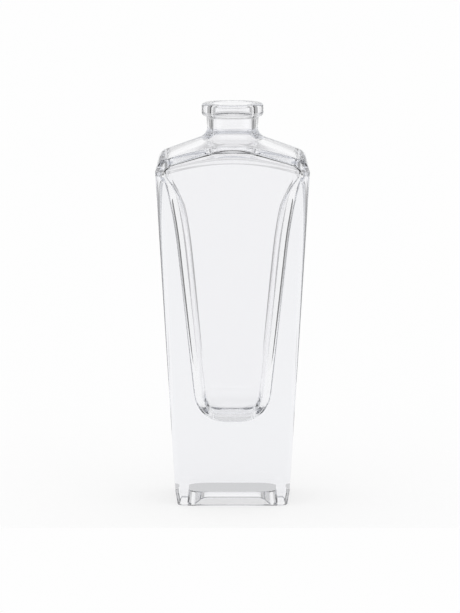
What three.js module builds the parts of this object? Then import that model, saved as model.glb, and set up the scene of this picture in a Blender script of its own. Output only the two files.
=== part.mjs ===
import * as THREE from "three";

// Clear glass perfume bottle of about 30 ml with a 15 mm crimp neck.
// The body is a thick walled rectangular block that widens upward, the shoulder is a shallow cone
// inside a leaning cap band, and the cavity stops well above the solid glass foot.
// Lengths are in mm: z is up from the table, the front faces -y and the neck axis is x = 0, y = 0.

const TOTAL_HEIGHT = 96.8;

// Crimp finish
const BEAD_DIAMETER = 15;
const BEAD_HEIGHT = 3.1;
const BEAD_EDGE_RADIUS = 0.75;
const BEAD_UNDERCUT_RADIUS = 0.35;
const NECK_TOP_DIAMETER = 12.7;
const NECK_DIAMETER = 12.3;
const NECK_FOOT_Z = 91.2;
const BORE_DIAMETER = 9.7;
const BORE_EDGE_RADIUS = 0.6;
const BORE_DEPTH = 6.4;

// Shoulder cone, given where it leaves the neck fillet
const CONE_TOP_Z = 88.45;
const CONE_TOP_DIAMETER = 16.4;
const CONE_SLOPE = 0.3625;

// Body block: the sizes at the table are those of the flat faces carried down to z = 0
const CREASE_WIDTH = 37;
const CREASE_DEPTH = 25.8;
const CREASE_CORNER_RADIUS = 1.8;
const TABLE_WIDTH = 27.3;
const TABLE_DEPTH = 23.4;
const TABLE_CORNER_RADIUS = 1.3;
const CREASE_CORNER_Z = 81.2;
const CREASE_FRONT_RISE = 2.5;
const CREASE_SIDE_RISE = 0.2;

// Cap band between the crease and the cone
const BAND_LEAN_SIDE = 0.92;
const BAND_LEAN_FRONT = 0.8;
const BAND_TOP_RADIUS = 1.5;

// Foot: a slight bevel, a small bottom radius, a flat bearing rim and a steep, flat topped push-up
const FOOT_BEVEL_HEIGHT = 3.2;
const FOOT_BEVEL_INSET = 0.5;
const FOOT_RADIUS = 0.8;
const FOOT_CORNER_RADIUS = 0.9;
const BEARING_RIM_WIDTH = 1.8;
const PUSH_UP_HEIGHT = 3.1;
const PUSH_UP_FLATNESS = 8;
const PUSH_UP_CORNER_RADIUS = 1.6;

// Cavity
const CAVITY_FLOOR_Z = 20.2;
const CAVITY_FLOOR_ROUND_HEIGHT = 7.5;
const CAVITY_FLOOR_ROUND_WIDTH = 6;
const CAVITY_FLOOR_ROUND_DEPTH = 4.2;
const CAVITY_LOW_WIDTH = 17.3;
const CAVITY_WIDTH_SLOPE = 0.218;
const CAVITY_FLARE_START_Z = 62;
const CAVITY_FLARE_WIDTH = 2.9;
const CAVITY_LOW_DEPTH = 13;
const CAVITY_HIGH_DEPTH = 20.4;
const CAVITY_LOW_CORNER_RADIUS = 4.4;
const CAVITY_HIGH_CORNER_RADIUS = 4.8;
const CAVITY_TIGHTEN_START_Z = 72;
const CAVITY_TIGHTENING = 0.75;
const CAVITY_WALL_TOP_Z = 80;
const CAVITY_FRONT_RISE = 2.2;
const CAVITY_TOP_RADIUS = 2.4;
const ROOF_THICKNESS = 2.7;
const BORE_FLARE_WIDTH = 2.4;

// Points round a quarter of each section
const FACE_STEPS = 4;
const CORNER_STEPS = 5;
const SIDE_STEPS = 4;

const HALF_PI = Math.PI / 2;
const lerp = (a, b, t) => a + (b - a) * t;
const steps = (n, from = 0) => Array.from({ length: n + 1 - from }, (_, i) => (i + from) / n);

// A quarter of a rounded rectangle runs from the middle of the front to the middle of the side.
// u runs along the front face, turn round the corner and v back along the side face.
const quarter = [
  ...steps(FACE_STEPS).slice(0, -1).map((t) => ({ u: t, turn: 0, v: 1 })),
  ...steps(CORNER_STEPS).map((t) => ({ u: 1, turn: t * HALF_PI, v: 1 })),
  ...steps(SIDE_STEPS, 1).map((t) => ({ u: 1, turn: HALF_PI, v: 1 - t })),
];
const last = quarter.length - 1;

function sectionPoint(place, halfWidth, halfDepth, radius, z) {
  const x = (halfWidth - radius) * place.u + radius * Math.sin(place.turn);
  const y = -((halfDepth - radius) * place.v + radius * Math.cos(place.turn));
  return new THREE.Vector3(x, y, z);
}

// One closed ring of points from a rule that gives the point at each place of the quarter
function ring(rule) {
  const q = quarter.map((place, i) => rule(place, i));
  const flip = (p, sx, sy) => new THREE.Vector3(p.x * sx, p.y * sy, p.z);
  return [
    ...q,
    ...q.slice(0, -1).reverse().map((p) => flip(p, 1, -1)),
    ...q.slice(1).map((p) => flip(p, -1, -1)),
    ...q.slice(1, -1).reverse().map((p) => flip(p, -1, 1)),
  ];
}

function between(a, b, t) {
  return a.clone().lerp(b, t);
}

// Rounded corner from a through the control point q to b
function curve(a, q, b, t) {
  return between(between(a, q, t), between(q, b, t), t);
}

// Outside of the block, linear in z
const rise = (z) => z / CREASE_CORNER_Z;
const blockHalfWidth = (z) => lerp(TABLE_WIDTH, CREASE_WIDTH, rise(z)) / 2;
const blockHalfDepth = (z) => lerp(TABLE_DEPTH, CREASE_DEPTH, rise(z)) / 2;
const blockCorner = (z) => lerp(TABLE_CORNER_RADIUS, CREASE_CORNER_RADIUS, rise(z));

// The crease is level round the corners and arched over the front, back and sides
function arch(place, front, side) {
  if (place.turn === 0) return front * (1 - place.u ** 2);
  if (place.turn === HALF_PI) return side * (1 - place.v ** 2);
  return 0;
}

const coneZ = (radius) => CONE_TOP_Z - CONE_SLOPE * (radius - CONE_TOP_DIAMETER / 2);
const roofZ = (radius) => coneZ(radius) - ROOF_THICKNESS;

function onCone(angle, radius, surface) {
  return new THREE.Vector3(radius * Math.cos(angle), radius * Math.sin(angle), surface(radius));
}

const evenAngle = (i) => (i / last - 1) * HALF_PI;
const round = (radius, z) => ring((_, i) => onCone(evenAngle(i), radius, () => z));

function footRings() {
  const inset = FOOT_BEVEL_INSET + FOOT_RADIUS;
  const at = (extra, z) => ring((p) => sectionPoint(
    p,
    blockHalfWidth(0) - inset - extra,
    blockHalfDepth(0) - inset - extra,
    FOOT_CORNER_RADIUS,
    z,
  ));
  const rings = [];
  const innerWidth = blockHalfWidth(0) - inset - BEARING_RIM_WIDTH;
  const innerDepth = blockHalfDepth(0) - inset - BEARING_RIM_WIDTH;
  for (const t of [0, 0.4, 0.6, 0.72, 0.81, 0.88, 0.93, 0.97, 1]) {
    const z = PUSH_UP_HEIGHT * (1 - t ** PUSH_UP_FLATNESS);
    const corner = PUSH_UP_CORNER_RADIUS * t;
    rings.push(ring((p) => sectionPoint(p, innerWidth * t, innerDepth * t, corner, z)));
  }
  rings.push(at(BEARING_RIM_WIDTH * 0.5, 0));
  for (const t of steps(4)) {
    const a = t * HALF_PI;
    rings.push(at(-FOOT_RADIUS * Math.sin(a), FOOT_RADIUS * (1 - Math.cos(a))));
  }
  return rings;
}

function bodyRings() {
  const block = (z) => ring((p) => sectionPoint(
    p, blockHalfWidth(z), blockHalfDepth(z), blockCorner(z), z,
  ));
  const crease = (p) => {
    const z = CREASE_CORNER_Z + arch(p, CREASE_FRONT_RISE, CREASE_SIDE_RISE);
    return sectionPoint(p, blockHalfWidth(z), blockHalfDepth(z), blockCorner(z), z);
  };
  const foot = block(FOOT_BEVEL_HEIGHT);
  const top = ring(crease);
  return [foot, ...[0.25, 0.5, 0.75].map((t) => foot.map((p, i) => between(p, top[i], t))), top];
}

// Wall foot, wall top, corner and start of the cone, for one point of the cap band
function bandPoints(p) {
  const z = CREASE_CORNER_Z + arch(p, CREASE_FRONT_RISE, CREASE_SIDE_RISE);
  const wallFoot = sectionPoint(p, blockHalfWidth(z), blockHalfDepth(z), blockCorner(z), z);
  const lean = lerp(BAND_LEAN_FRONT, BAND_LEAN_SIDE, Math.sin(p.turn) ** 2);
  const corner = wallFoot.clone();
  corner.x -= lean * Math.sin(p.turn);
  corner.y += lean * Math.cos(p.turn);
  const radius = Math.hypot(corner.x, corner.y);
  const angle = Math.atan2(corner.y, corner.x);
  corner.z = coneZ(radius);
  const wallTop = between(corner, wallFoot, BAND_TOP_RADIUS / corner.distanceTo(wallFoot));
  const coneStart = onCone(angle, radius - BAND_TOP_RADIUS, coneZ);
  return { wallTop, corner, coneStart, radius: radius - BAND_TOP_RADIUS, angle };
}

function shoulderRings() {
  const rings = [];
  for (const t of steps(5)) {
    rings.push(ring((p) => {
      const b = bandPoints(p);
      return curve(b.wallTop, b.corner, b.coneStart, t);
    }));
  }
  for (const t of steps(4, 1)) {
    rings.push(ring((p, i) => {
      const b = bandPoints(p);
      const angle = lerp(b.angle, evenAngle(i), t);
      return onCone(angle, lerp(b.radius, CONE_TOP_DIAMETER / 2, t), coneZ);
    }));
  }
  return rings;
}

// Neck, bead and bore as one turned profile of [radius, z]
function finishProfile() {
  const neck = NECK_DIAMETER / 2;
  const neckTop = NECK_TOP_DIAMETER / 2;
  const bead = BEAD_DIAMETER / 2;
  const bore = BORE_DIAMETER / 2;
  const beadFoot = TOTAL_HEIGHT - BEAD_HEIGHT;
  const start = new THREE.Vector2(CONE_TOP_DIAMETER / 2, CONE_TOP_Z);
  const meet = new THREE.Vector2(neck, coneZ(neck));
  const end = new THREE.Vector2(neck, NECK_FOOT_Z);
  const points = steps(6, 1).map((t) => curve(start, meet, end, t).toArray());
  const quarterTurn = (cx, cz, radius, from, n) => steps(n).map((t) => {
    const a = from + t * HALF_PI;
    return [cx + radius * Math.cos(a), cz + radius * Math.sin(a)];
  });
  points.push([neckTop, beadFoot - BEAD_UNDERCUT_RADIUS]);
  points.push([neckTop + BEAD_UNDERCUT_RADIUS * 0.3, beadFoot - BEAD_UNDERCUT_RADIUS * 0.3]);
  points.push([neckTop + BEAD_UNDERCUT_RADIUS, beadFoot]);
  const edge = BEAD_EDGE_RADIUS;
  points.push(...quarterTurn(bead - edge, beadFoot + edge, edge, -HALF_PI, 4));
  points.push(...quarterTurn(bead - edge, TOTAL_HEIGHT - edge, edge, 0, 4));
  const lip = BORE_EDGE_RADIUS;
  points.push(...quarterTurn(bore + lip, TOTAL_HEIGHT - lip, lip, HALF_PI, 3));
  points.push([bore, TOTAL_HEIGHT - BORE_DEPTH]);
  return points;
}

// Inside of the cavity
const cavityHalfWidth = (z) => {
  const straight = CAVITY_LOW_WIDTH + CAVITY_WIDTH_SLOPE * (z - CAVITY_FLOOR_Z);
  const flare = Math.max(0, (z - CAVITY_FLARE_START_Z) / (CAVITY_WALL_TOP_Z - CAVITY_FLARE_START_Z));
  return (straight + CAVITY_FLARE_WIDTH * flare ** 2) / 2;
};
const up = (z) => (z - CAVITY_FLOOR_Z) / (CAVITY_WALL_TOP_Z - CAVITY_FLOOR_Z);
const cavityHalfDepth = (z) => lerp(CAVITY_LOW_DEPTH, CAVITY_HIGH_DEPTH, up(z)) / 2;

// The cavity corners have a wide radius that tightens where the glass is blown into the shoulder
const cavityCorner = (z) => {
  const span = CAVITY_WALL_TOP_Z - CAVITY_TIGHTEN_START_Z;
  const share = Math.min(1, Math.max(0, (z - CAVITY_TIGHTEN_START_Z) / span));
  const radius = lerp(CAVITY_LOW_CORNER_RADIUS, CAVITY_HIGH_CORNER_RADIUS, up(z));
  return radius * (1 - CAVITY_TIGHTENING * share ** 2);
};

const cavityPoint = (p, z) => sectionPoint(
  p, cavityHalfWidth(z), cavityHalfDepth(z), cavityCorner(z), z,
);

function cavityRings() {
  const rings = [];
  const bore = BORE_DIAMETER / 2;
  const flared = bore + BORE_FLARE_WIDTH;
  const boreFoot = new THREE.Vector2(bore, TOTAL_HEIGHT - BORE_DEPTH);
  const meet = new THREE.Vector2(bore, roofZ(bore));
  const roofStart = new THREE.Vector2(flared, roofZ(flared));
  for (const t of steps(4, 1)) {
    const q = curve(boreFoot, meet, roofStart, t);
    rings.push(round(q.x, q.y));
  }
  const wallTop = (p) => cavityPoint(p, CAVITY_WALL_TOP_Z + arch(p, CAVITY_FRONT_RISE, 0));
  const roofEnd = (p) => {
    const w = wallTop(p);
    return {
      angle: Math.atan2(w.y, w.x),
      radius: Math.hypot(w.x, w.y) - CAVITY_TOP_RADIUS,
    };
  };
  for (const t of [0.3, 0.6]) {
    rings.push(ring((p, i) => {
      const e = roofEnd(p);
      return onCone(lerp(evenAngle(i), e.angle, t), lerp(flared, e.radius, t), roofZ);
    }));
  }
  for (const t of steps(5)) {
    rings.push(ring((p) => {
      const w = wallTop(p);
      const e = roofEnd(p);
      const meeting = w.clone().setZ(Math.max(roofZ(e.radius + CAVITY_TOP_RADIUS), w.z + 0.4));
      return curve(onCone(e.angle, e.radius, roofZ), meeting, w, t);
    }));
  }
  const low = CAVITY_FLOOR_Z + CAVITY_FLOOR_ROUND_HEIGHT;
  for (const t of [0.04, 0.08, 0.12, 0.16, 0.32, 0.5, 0.67, 0.84, 1]) {
    rings.push(ring((p) => cavityPoint(p, lerp(wallTop(p).z, low, t))));
  }
  let floor;
  for (const t of steps(6, 1)) {
    const a = t * HALF_PI;
    const z = low - CAVITY_FLOOR_ROUND_HEIGHT * Math.sin(a);
    floor = [
      cavityHalfWidth(z) - CAVITY_FLOOR_ROUND_WIDTH * (1 - Math.cos(a)),
      cavityHalfDepth(z) - CAVITY_FLOOR_ROUND_DEPTH * (1 - Math.cos(a)),
      cavityCorner(z) * (1 - 0.55 * (1 - Math.cos(a))),
    ];
    rings.push(ring((p) => sectionPoint(p, ...floor, z)));
  }
  for (const t of [0.5, 0]) {
    const [w, d, r] = floor.map((v) => v * t);
    rings.push(ring((p) => sectionPoint(p, w, d, r, CAVITY_FLOOR_Z)));
  }
  return rings;
}

// Skin the rings into one closed body; the first and the last ring have shrunk to a point
function skin(rings) {
  const count = rings[0].length;
  const positions = [];
  const index = [];
  positions.push(rings[0][0].x, rings[0][0].y, rings[0][0].z);
  for (const loop of rings.slice(1, -1)) {
    for (const p of loop) positions.push(p.x, p.y, p.z);
  }
  const end = rings[rings.length - 1][0];
  positions.push(end.x, end.y, end.z);
  const at = (row, k) => 1 + row * count + (k % count);
  const rows = rings.length - 2;
  for (let k = 0; k < count; k += 1) {
    index.push(0, at(0, k + 1), at(0, k));
    index.push(1 + rows * count, at(rows - 1, k), at(rows - 1, k + 1));
  }
  for (let row = 0; row < rows - 1; row += 1) {
    for (let k = 0; k < count; k += 1) {
      index.push(at(row, k), at(row, k + 1), at(row + 1, k + 1));
      index.push(at(row, k), at(row + 1, k + 1), at(row + 1, k));
    }
  }
  const geometry = new THREE.BufferGeometry();
  geometry.setAttribute("position", new THREE.Float32BufferAttribute(positions, 3));
  geometry.setIndex(index);
  geometry.computeVertexNormals();
  return geometry;
}

const glass = new THREE.MeshStandardMaterial({ color: 0xe9eef0, roughness: 0.05, metalness: 0 });
glass.name = "clear_glass";

const bottle = new THREE.Mesh(
  skin([
    ...footRings(),
    ...bodyRings(),
    ...shoulderRings(),
    ...finishProfile().map(([radius, z]) => round(radius, z)),
    ...cavityRings(),
  ]),
  glass,
);
bottle.name = "glass_bottle";

const group = new THREE.Group();
group.name = "tapered_bottle";
group.add(bottle);

export default group;
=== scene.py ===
import math

import bmesh
import bpy
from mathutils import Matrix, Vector


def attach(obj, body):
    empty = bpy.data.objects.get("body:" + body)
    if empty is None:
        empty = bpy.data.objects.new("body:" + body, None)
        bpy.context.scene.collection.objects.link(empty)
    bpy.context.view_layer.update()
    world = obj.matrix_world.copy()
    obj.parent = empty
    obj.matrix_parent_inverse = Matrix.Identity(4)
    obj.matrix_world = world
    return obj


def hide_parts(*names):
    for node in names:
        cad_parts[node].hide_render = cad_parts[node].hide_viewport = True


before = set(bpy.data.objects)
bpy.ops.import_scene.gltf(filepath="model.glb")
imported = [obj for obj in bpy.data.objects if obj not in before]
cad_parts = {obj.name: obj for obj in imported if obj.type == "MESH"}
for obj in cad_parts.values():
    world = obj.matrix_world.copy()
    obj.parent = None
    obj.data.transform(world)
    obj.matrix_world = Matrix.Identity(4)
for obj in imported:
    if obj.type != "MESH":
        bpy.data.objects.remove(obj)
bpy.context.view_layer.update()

MM = 0.001
QUARTER_TURN = math.pi / 2

# Sizes of the bottle in millimetres, as in the frame
TOTAL_HEIGHT = 96.8

# Neck with its crimp bead
BEAD_RADIUS = 7.5
BEAD_HEIGHT = 3.1
BEAD_EDGE_RADIUS = 0.75
BEAD_UNDERCUT = 0.35
NECK_TOP_RADIUS = 6.35
NECK_RADIUS = 6.15
NECK_FOOT_Z = 91.2
BORE_RADIUS = 4.85
BORE_EDGE_RADIUS = 0.6
BORE_DEPTH = 6.4

# Cone of the shoulder
CONE_TOP_Z = 88.45
CONE_TOP_RADIUS = 8.2
CONE_SLOPE = 0.3625

# Tapered block between the table and the arched crease
CREASE_HALF_WIDTH = 18.5
CREASE_HALF_DEPTH = 12.9
CREASE_CORNER = 2.1
TABLE_HALF_WIDTH = 13.65
TABLE_HALF_DEPTH = 11.7
TABLE_CORNER = 1.5
BODY_CORNER_BEVEL = 1.2
CREASE_Z = 81.2
CREASE_FRONT_RISE = 2.5
CREASE_SIDE_RISE = 0.2
CREASE_SOFTNESS = 0.25

# Wall that leans in over the crease, and its edge with the cone
BAND_LEAN_SIDE = 0.92
BAND_LEAN_FRONT = 0.8
BAND_TOP_RADIUS = 1.5

# Heel, and the push-up that is seen through the glass as a grey shape
FOOT_BEVEL_HEIGHT = 3.2
FOOT_BEVEL_INSET = 0.25
FOOT_BEVEL_SOFTNESS = 0.1
FOOT_RADIUS = 0.55
FOOT_CORNER = 1.2
RIM_WIDTH = 1.8
PUSH_UP_HEIGHT = 3.2
PUSH_UP_SLOPE_WIDTH = 0.3
PUSH_UP_SOFTNESS = 0.12
PUSH_UP_CORNER = 5.0

# Cavity, its rounded floor and the roof under the cone
CAVITY_FLOOR_Z = 19.6
FLOOR_ROUND_HEIGHT = 6.6
FLOOR_ROUND_WIDTH = 6.0
FLOOR_ROUND_DEPTH = 4.2
FLOOR_CORNER_LOSS = 0.55
CAVITY_LOW_HALF_WIDTH = 8.58
CAVITY_WIDTH_SLOPE = 0.109
CAVITY_FLARE_START_Z = 62
CAVITY_FLARE = 1.45
CAVITY_LOW_HALF_DEPTH = 6.5
CAVITY_HIGH_HALF_DEPTH = 10.2
CAVITY_LOW_CORNER = 3.4
CAVITY_HIGH_CORNER = 3.8
CAVITY_TIGHTEN_START_Z = 72
CAVITY_TIGHTENING = 0.75
CAVITY_CORNER_BEVEL = 1.3
CAVITY_TOP_Z = 80
CAVITY_FRONT_RISE = 2.2
CAVITY_TOP_RADIUS = 2.4
CAVITY_TOP_LEAST_RISE = 0.4
ROOF_THICKNESS = 2.7
BORE_FLARE = 2.4

# White sweep under and behind the bottle, in metres
SWEEP_NEAR = -0.036
SWEEP_FAR = 3.0
SWEEP_NEAR_HALF_WIDTH = 0.09
SWEEP_FAR_HALF_WIDTH = 0.28

# Strengths of light: the grey of the paper and its own glow add up to the ground
PAPER_GREY = 0.3
PAPER_GLOW = 0.69
GROUND = 0.99
DARK_ROOM = 0.04

# What the glass reflects and bends into view, each patch laid over those before it. In degrees:
# azimuth of its middle (0 is behind the bottle), half width, softness, lowest, highest; strength
STUDIO_PATCHES = (
    # room round the camera
    (180, 90, 6, -90, 24, 0.6),
    (-180, 90, 6, -90, 24, 0.6),
    # white walls at the sides
    (90, 30, 3, -90, 24, 0.95),
    (-90, 30, 3, -90, 24, 0.95),
    # darker ends of the sweep, and the sweep
    (0, 50, 3, -90, 34, 0.4),
    (0, 25, 3, -90, 34, 1.0),
    # grey strip low behind, which the push-up mirrors
    (0, 60, 3, 4, 14, 0.66),
    # light overhead
    (0, 181, 4, 62, 91, 1.0),
)

# Camera fitted to the photo: millimetres for its place, pixels of the photo for its picture
CAMERA_DISTANCE = 843
CAMERA_HEIGHT = 177.1
AIM_HEIGHT = 47.1
PHOTO_HEIGHT = 613
FOCAL_LENGTH = 3507
SIDE_SHIFT = -2.5
SENSOR_WIDTH_MM = 36

# Points round a quarter of the bottle: along the front, round the corner, along the side
FACE_STEPS = 14
CORNER_STEPS = 12
SIDE_STEPS = 11


def mix(a, b, t):
    return a + (b - a) * t


def steps(n, start=0):
    return [i / n for i in range(start, n + 1)]


def curve(a, q, b, t):
    """A rounded corner from a to b that is pulled towards q."""
    return a * (1 - t) ** 2 + q * 2 * t * (1 - t) + b * t**2


# Each place is (share along the front, angle round the corner, share along the side)
PLACES = (
    [(t, 0.0, 1.0) for t in steps(FACE_STEPS)[:-1]]
    + [(1.0, t * QUARTER_TURN, 1.0) for t in steps(CORNER_STEPS)]
    + [(1.0, QUARTER_TURN, 1.0 - t) for t in steps(SIDE_STEPS, 1)]
)
LAST = len(PLACES) - 1
RING = 4 * LAST


def outline(place, half_width, half_depth, corner, z, bevelled=1.0):
    """A point of a rectangle in its front right quarter.

    Its corners are round where bevelled is 1, and come near a straight bevel towards 2.
    """
    along, turn, back = place
    corner = min(corner, half_width, half_depth)
    x = (half_width - corner) * along + corner * math.sin(turn) ** bevelled
    y = -((half_depth - corner) * back + corner * max(0.0, math.cos(turn)) ** bevelled)
    return Vector((x, y, z))


def polar(i, radius, z):
    angle = (i / LAST - 1) * QUARTER_TURN
    return Vector((radius * math.cos(angle), radius * math.sin(angle), z))


def whole_ring(rule):
    """The rule gives the front right quarter, which is mirrored to the other three."""
    quarter = [rule(place, i) for i, place in enumerate(PLACES)]
    back = [Vector((p.x, -p.y, p.z)) for p in reversed(quarter[:-1])]
    half = quarter + back
    return half + [Vector((-p.x, p.y, p.z)) for p in reversed(half[1:-1])]


def arch(place, front, side):
    along, turn, back = place
    if turn == 0:
        return front * (1 - along**2)
    if turn == QUARTER_TURN:
        return side * (1 - back**2)
    return 0.0


def block(place, z, inset=0.0, corner=None):
    """A point on the tapered block, or inside it by the inset."""
    t = z / CREASE_Z
    width = mix(TABLE_HALF_WIDTH, CREASE_HALF_WIDTH, t) - inset
    depth = mix(TABLE_HALF_DEPTH, CREASE_HALF_DEPTH, t) - inset
    corner = corner or mix(TABLE_CORNER, CREASE_CORNER, t)
    return outline(place, width, depth, corner, z, BODY_CORNER_BEVEL)


def cone_z(radius):
    return CONE_TOP_Z - CONE_SLOPE * (radius - CONE_TOP_RADIUS)


def roof_z(radius):
    return cone_z(radius) - ROOF_THICKNESS


def foot_profile():
    """Inset and height of the heel, from the rim round the bottom radius and up the bevel."""
    profile = []
    for t in steps(8):
        turn = t * QUARTER_TURN
        profile.append(
            (FOOT_BEVEL_INSET + FOOT_RADIUS * (1 - math.sin(turn)), FOOT_RADIUS * (1 - math.cos(turn)))
        )
    slope = FOOT_BEVEL_INSET / (FOOT_BEVEL_HEIGHT - FOOT_RADIUS)
    soft = FOOT_BEVEL_SOFTNESS
    for z in (mix(FOOT_RADIUS, FOOT_BEVEL_HEIGHT, 0.1), FOOT_BEVEL_HEIGHT - 2 * soft):
        profile.append((slope * (FOOT_BEVEL_HEIGHT - z), z))
    for t in steps(4):
        inset = curve(slope * soft, 0, 0, t)
        profile.append((inset, mix(FOOT_BEVEL_HEIGHT - soft, FOOT_BEVEL_HEIGHT + soft, t)))
    return profile


def foot_rings():
    """From the middle of the push-up over the bearing rim and up the heel."""
    rings = []
    rim_outside = FOOT_BEVEL_INSET + FOOT_RADIUS
    width = TABLE_HALF_WIDTH - rim_outside - RIM_WIDTH
    depth = TABLE_HALF_DEPTH - rim_outside - RIM_WIDTH
    top, soft = PUSH_UP_SLOPE_WIDTH, PUSH_UP_SOFTNESS
    flat = [(mix(depth, top + soft, t), PUSH_UP_HEIGHT) for t in (0.1, 0.3, 0.6, 0.9)]
    edge = [
        (
            curve(top + soft, top, top - soft, t),
            curve(PUSH_UP_HEIGHT, PUSH_UP_HEIGHT, PUSH_UP_HEIGHT * (1 - soft / top), t),
        )
        for t in steps(6)
    ]
    slope = [((top - soft) * t, PUSH_UP_HEIGHT * (1 - soft / top) * t) for t in (0.95, 0.5, 0.05, 0)]
    for drawn_in, z in flat + edge + slope:
        corner = PUSH_UP_CORNER * (1 - drawn_in / depth)
        sides = (width - drawn_in, depth - drawn_in, corner, z)
        rings.append(whole_ring(lambda p, i: outline(p, *sides)))
    for share in (0.9, 0.2):
        inset = rim_outside + RIM_WIDTH * share
        corner = mix(FOOT_CORNER, PUSH_UP_CORNER, share)
        rings.append(whole_ring(lambda p, i: block(p, 0.0, inset, corner)))
    for inset, z in foot_profile():
        full = mix(TABLE_CORNER, CREASE_CORNER, z / CREASE_Z)
        corner = mix(full, FOOT_CORNER, min(1, inset / rim_outside))
        rings.append(whole_ring(lambda p, i: block(p, z, inset, corner)))
    return rings


def crease_height(place):
    return CREASE_Z + arch(place, CREASE_FRONT_RISE, CREASE_SIDE_RISE)


def body_rings():
    """Straight walls from the heel to just under the crease."""
    rings = []
    foot_top = FOOT_BEVEL_HEIGHT + FOOT_BEVEL_SOFTNESS
    for t in (0.02, 0.15, 0.3, 0.45, 0.6, 0.75, 0.9, 0.98, 1.0):
        rings.append(
            whole_ring(
                lambda p, i: block(p, mix(foot_top, crease_height(p) - CREASE_SOFTNESS, t))
            )
        )
    return rings


def band(place):
    """Crease, top of the leaning wall, its corner with the cone, and where the cone starts."""
    crease = block(place, crease_height(place))
    turn = place[1]
    lean = mix(BAND_LEAN_FRONT, BAND_LEAN_SIDE, math.sin(turn) ** 2)
    corner = crease + Vector((-lean * math.sin(turn), lean * math.cos(turn), 0))
    radius = math.hypot(corner.x, corner.y)
    corner.z = cone_z(radius)
    wall_top = corner.lerp(crease, BAND_TOP_RADIUS / (crease - corner).length)
    angle = math.atan2(corner.y, corner.x)
    start = radius - BAND_TOP_RADIUS
    cone_start = Vector((start * math.cos(angle), start * math.sin(angle), cone_z(start)))
    return crease, wall_top, corner, cone_start, start, angle


def shoulder_rings():
    rings = []

    def over_crease(place, t):
        crease, wall_top = band(place)[:2]
        under = block(place, crease_height(place) - CREASE_SOFTNESS)
        above = crease.lerp(wall_top, CREASE_SOFTNESS / (wall_top - crease).length)
        return curve(under, crease, above, t)

    def up_the_band(place, t):
        return over_crease(place, 1.0).lerp(band(place)[1], t)

    def over_the_edge(place, t):
        return curve(*band(place)[1:4], t)

    def up_the_cone(place, i, t):
        start, angle = band(place)[4:]
        radius = mix(start, CONE_TOP_RADIUS, t)
        turned = mix(angle, (i / LAST - 1) * QUARTER_TURN, t)
        return Vector((radius * math.cos(turned), radius * math.sin(turned), cone_z(radius)))

    for t in (0.25, 0.5, 0.75, 1.0):
        rings.append(whole_ring(lambda p, i: over_crease(p, t)))
    for t in (0.1, 0.5, 0.9):
        rings.append(whole_ring(lambda p, i: up_the_band(p, t)))
    for t in steps(10):
        rings.append(whole_ring(lambda p, i: over_the_edge(p, t)))
    for t in (0.04, 0.15, 0.3, 0.45, 0.6, 0.75, 0.9, 1.0):
        rings.append(whole_ring(lambda p, i: up_the_cone(p, i, t)))
    return rings


def neck_rings():
    """Neck fillet, neck, crimp bead, mouth and bore, all turned about the neck axis."""
    profile = []

    def corner_of(radius, z, size, start, n):
        for t in steps(n):
            a = start + t * QUARTER_TURN
            profile.append((radius + size * math.cos(a), z + size * math.sin(a)))

    for t in steps(14, 1):
        profile.append(
            (
                curve(CONE_TOP_RADIUS, NECK_RADIUS, NECK_RADIUS, t),
                curve(CONE_TOP_Z, cone_z(NECK_RADIUS), NECK_FOOT_Z, t),
            )
        )
    bead_foot = TOTAL_HEIGHT - BEAD_HEIGHT
    for t in (0.3, 0.7):
        profile.append(
            (mix(NECK_RADIUS, NECK_TOP_RADIUS, t), mix(NECK_FOOT_Z, bead_foot - BEAD_UNDERCUT, t))
        )
    for t in steps(5):
        a = t * QUARTER_TURN
        profile.append(
            (
                NECK_TOP_RADIUS + BEAD_UNDERCUT * (1 - math.cos(a)),
                bead_foot - BEAD_UNDERCUT * (1 - math.sin(a)),
            )
        )
    edge = BEAD_EDGE_RADIUS
    corner_of(BEAD_RADIUS - edge, bead_foot + edge, edge, -QUARTER_TURN, 9)
    corner_of(BEAD_RADIUS - edge, TOTAL_HEIGHT - edge, edge, 0, 9)
    lip = BORE_EDGE_RADIUS
    corner_of(BORE_RADIUS + lip, TOTAL_HEIGHT - lip, lip, QUARTER_TURN, 7)
    for t in (0.1, 0.4, 0.7, 1.0):
        profile.append((BORE_RADIUS, mix(TOTAL_HEIGHT - lip, TOTAL_HEIGHT - BORE_DEPTH, t)))
    return [whole_ring(lambda p, i: polar(i, radius, z)) for radius, z in profile]


def cavity_wall(z):
    up = (z - CAVITY_FLOOR_Z) / (CAVITY_TOP_Z - CAVITY_FLOOR_Z)
    flare = max(0.0, (z - CAVITY_FLARE_START_Z) / (CAVITY_TOP_Z - CAVITY_FLARE_START_Z))
    width = CAVITY_LOW_HALF_WIDTH + CAVITY_WIDTH_SLOPE * (z - CAVITY_FLOOR_Z)
    width += CAVITY_FLARE * flare**2
    depth = mix(CAVITY_LOW_HALF_DEPTH, CAVITY_HIGH_HALF_DEPTH, up)
    share = (z - CAVITY_TIGHTEN_START_Z) / (CAVITY_TOP_Z - CAVITY_TIGHTEN_START_Z)
    corner = mix(CAVITY_LOW_CORNER, CAVITY_HIGH_CORNER, up)
    corner *= 1 - CAVITY_TIGHTENING * min(1.0, max(0.0, share)) ** 2
    return width, depth, corner


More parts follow.
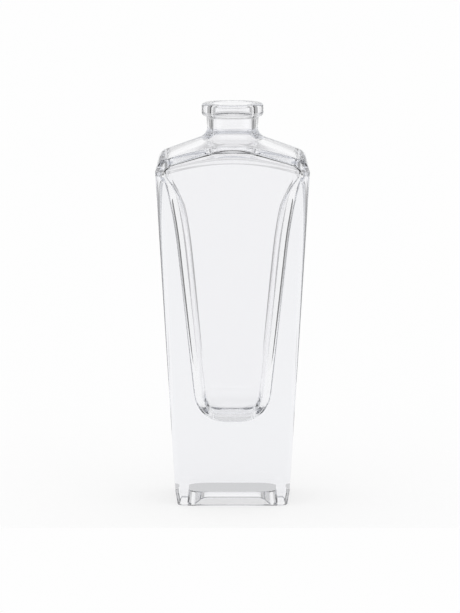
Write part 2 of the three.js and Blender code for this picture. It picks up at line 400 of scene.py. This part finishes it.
def cavity_rings():
    """From the bore down over the roof, the walls and the rounded floor of the cavity."""
    rings = []
    bore_foot = TOTAL_HEIGHT - BORE_DEPTH
    flared = BORE_RADIUS + BORE_FLARE
    for t in steps(10, 1):
        radius = curve(BORE_RADIUS, BORE_RADIUS, flared, t)
        z = curve(bore_foot, roof_z(BORE_RADIUS), roof_z(flared), t)
        rings.append(whole_ring(lambda p, i: polar(i, radius, z)))

    def wall_top(place):
        z = CAVITY_TOP_Z + arch(place, CAVITY_FRONT_RISE, 0)
        return outline(place, *cavity_wall(z), z, CAVITY_CORNER_BEVEL)

    def roof_end(place):
        wall = wall_top(place)
        return math.atan2(wall.y, wall.x), math.hypot(wall.x, wall.y) - CAVITY_TOP_RADIUS

    def along_the_roof(place, i, t):
        angle, end = roof_end(place)
        turned = mix((i / LAST - 1) * QUARTER_TURN, angle, t)
        radius = mix(flared, end, t)
        return Vector((radius * math.cos(turned), radius * math.sin(turned), roof_z(radius)))

    def into_the_wall(place, t):
        wall = wall_top(place)
        angle, end = roof_end(place)
        roof = Vector((end * math.cos(angle), end * math.sin(angle), roof_z(end)))
        edge_z = max(roof_z(end + CAVITY_TOP_RADIUS), wall.z + CAVITY_TOP_LEAST_RISE)
        corner = Vector((wall.x, wall.y, edge_z))
        return curve(roof, corner, wall, t)

    low = CAVITY_FLOOR_Z + FLOOR_ROUND_HEIGHT

    def down_the_wall(place, t):
        z = mix(wall_top(place).z, low, t)
        return outline(place, *cavity_wall(z), z, CAVITY_CORNER_BEVEL)

    for t in (0.12, 0.3, 0.5, 0.7, 0.9):
        rings.append(whole_ring(lambda p, i: along_the_roof(p, i, t)))
    for t in steps(12):
        rings.append(whole_ring(lambda p, i: into_the_wall(p, t)))
    for t in steps(24, 1):
        rings.append(whole_ring(lambda p, i: down_the_wall(p, t)))
    for t in steps(16, 1):
        drawn_in = 1 - math.cos(t * QUARTER_TURN)
        z = low - FLOOR_ROUND_HEIGHT * math.sin(t * QUARTER_TURN)
        width, depth, corner = cavity_wall(z)
        floor = (
            width - FLOOR_ROUND_WIDTH * drawn_in,
            depth - FLOOR_ROUND_DEPTH * drawn_in,
            corner * (1 - FLOOR_CORNER_LOSS * drawn_in),
        )
        rings.append(whole_ring(lambda p, i: outline(p, *floor, z, CAVITY_CORNER_BEVEL)))
    for t in (0.8, 0.55, 0.25):
        inner = [size * t for size in floor]
        rings.append(
            whole_ring(lambda p, i: outline(p, *inner, CAVITY_FLOOR_Z, CAVITY_CORNER_BEVEL))
        )
    return rings


def blow_bottle(rings, bottom, floor):
    """A disc is drawn out ring by ring, and each new ring is set on its outline."""
    bpy.ops.object.select_all(action="DESELECT")
    bpy.ops.mesh.primitive_circle_add(vertices=RING, radius=0.01, fill_type="TRIFAN")
    bottle = bpy.context.object
    bpy.ops.object.mode_set(mode="EDIT")
    mesh = bmesh.from_edit_mesh(bottle.data)
    place = mesh.verts.layers.int.new("place")
    bpy.ops.mesh.select_mode(type="VERT")
    for v in mesh.verts:
        angle = math.atan2(v.co.y, v.co.x) + QUARTER_TURN
        v[place] = round(angle / (2 * math.pi) * RING) % RING
        centre = v.co.length < 0.005
        v.co = bottom * MM if centre else rings[0][v[place]] * MM
        v.select = not centre
    mesh.select_flush_mode()
    for ring in rings[1:]:
        bpy.ops.mesh.extrude_edges_move()
        mesh = bmesh.from_edit_mesh(bottle.data)
        place = mesh.verts.layers.int["place"]
        for v in mesh.verts:
            if v.select:
                v.co = ring[v[place]] * MM
    bpy.ops.mesh.extrude_edges_move()
    bpy.ops.mesh.merge(type="CENTER")
    mesh = bmesh.from_edit_mesh(bottle.data)
    for v in mesh.verts:
        if v.select:
            v.co = floor * MM
    bpy.ops.mesh.select_all(action="SELECT")
    bpy.ops.mesh.normals_make_consistent(inside=False)
    bpy.ops.object.mode_set(mode="OBJECT")
    bottle.name = "tapered_glass_bottle"
    bpy.ops.object.shade_smooth_by_angle(angle=math.radians(30))
    bpy.ops.object.modifier_add(type="WEIGHTED_NORMAL")
    bottle.modifiers[-1].keep_sharp = True
    bpy.ops.object.modifier_apply(modifier=bottle.modifiers[-1].name)
    return bottle


def srgb(code):
    channels = [int(code[i : i + 2], 16) / 255 for i in (1, 3, 5)]
    return tuple(c / 12.92 if c <= 0.04045 else ((c + 0.055) / 1.055) ** 2.4 for c in channels)


def add_node(tree, kind, inputs=None, **settings):
    """Adds a node; an input is set to a value, or linked if it is given another node's output."""
    node = tree.nodes.new(kind)
    for name, value in settings.items():
        setattr(node, name, value)
    for key, value in (inputs or {}).items():
        if isinstance(value, bpy.types.NodeSocket):
            tree.links.new(value, node.inputs[key])
        else:
            node.inputs[key].default_value = value
    return node


def blown_flint_glass():
    """Colourless soda-lime glass, blown in a polished mould and fire polished.

    The eye sees a hard clear surface, edges drawn dark and white by refraction, a faint cool
    grey where the wall is thick, and a slight unevenness of the blown skin.
    """
    material = bpy.data.materials.new("blown_flint_glass")
    material.use_nodes = True
    tree = material.node_tree
    tree.nodes.clear()
    output = add_node(tree, "ShaderNodeOutputMaterial")
    coordinates = add_node(tree, "ShaderNodeTexCoord")
    # Waves of the blown skin are some 5 mm long and a few micrometres high
    waves = add_node(
        tree,
        "ShaderNodeTexNoise",
        {"Vector": coordinates.outputs["Object"], "Scale": 1 / (5 * MM), "Detail": 2.0},
    )
    relief = add_node(
        tree,
        "ShaderNodeBump",
        {"Height": waves.outputs["Fac"], "Strength": 0.1, "Distance": 0.04 * MM},
    )
    glass = add_node(
        tree,
        "ShaderNodeBsdfPrincipled",
        {
            "Base Color": (*srgb("#fdfdfe"), 1),
            "Roughness": 0.0,
            "IOR": 1.52,
            "Transmission Weight": 1.0,
            "Normal": relief.outputs["Normal"],
        },
    )
    tint = add_node(
        tree,
        "ShaderNodeVolumeAbsorption",
        {"Color": (*srgb("#d2d6e0"), 1), "Density": 7.0},
    )
    tree.links.new(glass.outputs["BSDF"], output.inputs["Surface"])
    tree.links.new(tint.outputs["Volume"], output.inputs["Volume"])
    return material


def white_table():
    """Matt white sweep; its own glow keeps the ground white, its grey takes the shadow."""
    material = bpy.data.materials.new("white_paper_sweep")
    material.use_nodes = True
    paper = material.node_tree.nodes["Principled BSDF"]
    paper.inputs["Base Color"].default_value = (PAPER_GREY, PAPER_GREY, PAPER_GREY, 1)
    paper.inputs["Roughness"].default_value = 1.0
    paper.inputs["Specular IOR Level"].default_value = 0.0
    paper.inputs["Emission Color"].default_value = (1, 1, 1, 1)
    paper.inputs["Emission Strength"].default_value = PAPER_GLOW
    return material


def build_bottle():
    rings = foot_rings() + body_rings() + shoulder_rings() + neck_rings() + cavity_rings()
    bottom = Vector((0, 0, PUSH_UP_HEIGHT))
    floor = Vector((0, 0, CAVITY_FLOOR_Z))
    bottle = blow_bottle(rings, bottom, floor)
    bottle.data.materials.append(blown_flint_glass())
    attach(bottle, "root")
    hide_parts("glass_bottle")


def build_table():
    """A white sweep under the bottle and far behind it, just wider than the picture."""
    bpy.ops.object.select_all(action="DESELECT")
    bpy.ops.mesh.primitive_plane_add(size=2)
    table = bpy.context.object
    table.name = "table"
    for v in table.data.vertices:
        behind = v.co.y > 0
        v.co.x *= SWEEP_FAR_HALF_WIDTH if behind else SWEEP_NEAR_HALF_WIDTH
        v.co.y = SWEEP_FAR if behind else SWEEP_NEAR
    table.data.materials.append(white_table())


def light_studio():
    """White low down, a dark gap that draws the edges of the glass, and a soft overhead light."""
    world = bpy.data.worlds.new("studio")
    bpy.context.scene.world = world
    world.use_nodes = True
    tree = world.node_tree
    tree.nodes.clear()
    direction = add_node(tree, "ShaderNodeTexCoord").outputs["Generated"]
    parts = add_node(tree, "ShaderNodeSeparateXYZ", {0: direction}).outputs

    def calculate(operation, *values):
        return add_node(
            tree, "ShaderNodeMath", dict(enumerate(values)), operation=operation
        ).outputs[0]

    def rising(value, low, high):
        return add_node(
            tree,
            "ShaderNodeMapRange",
            {"Value": value, "From Min": low, "From Max": high},
            interpolation_type="SMOOTHSTEP",
        ).outputs[0]

    azimuth = calculate("MULTIPLY", calculate("ARCTAN2", parts["X"], parts["Y"]), 180 / math.pi)
    height = calculate("MULTIPLY", calculate("ARCSINE", parts["Z"]), 180 / math.pi)

    def patch(level, centre, half, soft, low, high, strength):
        away = calculate("ABSOLUTE", calculate("SUBTRACT", azimuth, centre))
        wide = calculate("SUBTRACT", 1.0, rising(away, half - soft, half + soft))
        tall = calculate(
            "MULTIPLY",
            rising(height, low - soft, low + soft),
            calculate("SUBTRACT", 1.0, rising(height, high - soft, high + soft)),
        )
        return add_node(
            tree,
            "ShaderNodeMix",
            {0: calculate("MULTIPLY", wide, tall), 2: level, 3: strength},
            data_type="FLOAT",
        ).outputs[0]

    level = DARK_ROOM
    for values in STUDIO_PATCHES:
        level = patch(level, *values)
    ray = add_node(tree, "ShaderNodeLightPath").outputs
    seen = calculate("MAXIMUM", ray["Is Glossy Ray"], ray["Is Transmission Ray"])
    lighting = add_node(tree, "ShaderNodeBackground", {"Color": (1, 1, 1, 1), "Strength": 1.0})
    studio = add_node(tree, "ShaderNodeBackground", {"Color": (1, 1, 1, 1), "Strength": level})
    ground = add_node(tree, "ShaderNodeBackground", {"Color": (1, 1, 1, 1), "Strength": GROUND})
    lit = add_node(
        tree,
        "ShaderNodeMixShader",
        {0: seen, 1: lighting.outputs[0], 2: studio.outputs[0]},
    )
    shown = add_node(
        tree,
        "ShaderNodeMixShader",
        {0: ray["Is Camera Ray"], 1: lit.outputs[0], 2: ground.outputs[0]},
    )
    output = add_node(tree, "ShaderNodeOutputWorld")
    tree.links.new(shown.outputs[0], output.inputs["Surface"])


def set_camera():
    data = bpy.data.cameras.new("camera")
    camera = bpy.data.objects.new("camera", data)
    bpy.context.scene.collection.objects.link(camera)
    bpy.context.scene.camera = camera
    camera.location = (0, -CAMERA_DISTANCE * MM, CAMERA_HEIGHT * MM)
    pitch = math.atan((CAMERA_HEIGHT - AIM_HEIGHT) / CAMERA_DISTANCE)
    camera.rotation_euler = (QUARTER_TURN - pitch, 0, 0)
    data.sensor_width = SENSOR_WIDTH_MM
    data.lens = FOCAL_LENGTH * SENSOR_WIDTH_MM / PHOTO_HEIGHT
    data.clip_start = 0.01
    data.clip_end = 50
    data.shift_x = SIDE_SHIFT / PHOTO_HEIGHT


build_bottle()
build_table()
light_studio()
set_camera()

scene = bpy.context.scene
scene.view_settings.view_transform = "Standard"
scene.cycles.max_bounces = 32
scene.cycles.transmission_bounces = 32
scene.cycles.glossy_bounces = 16
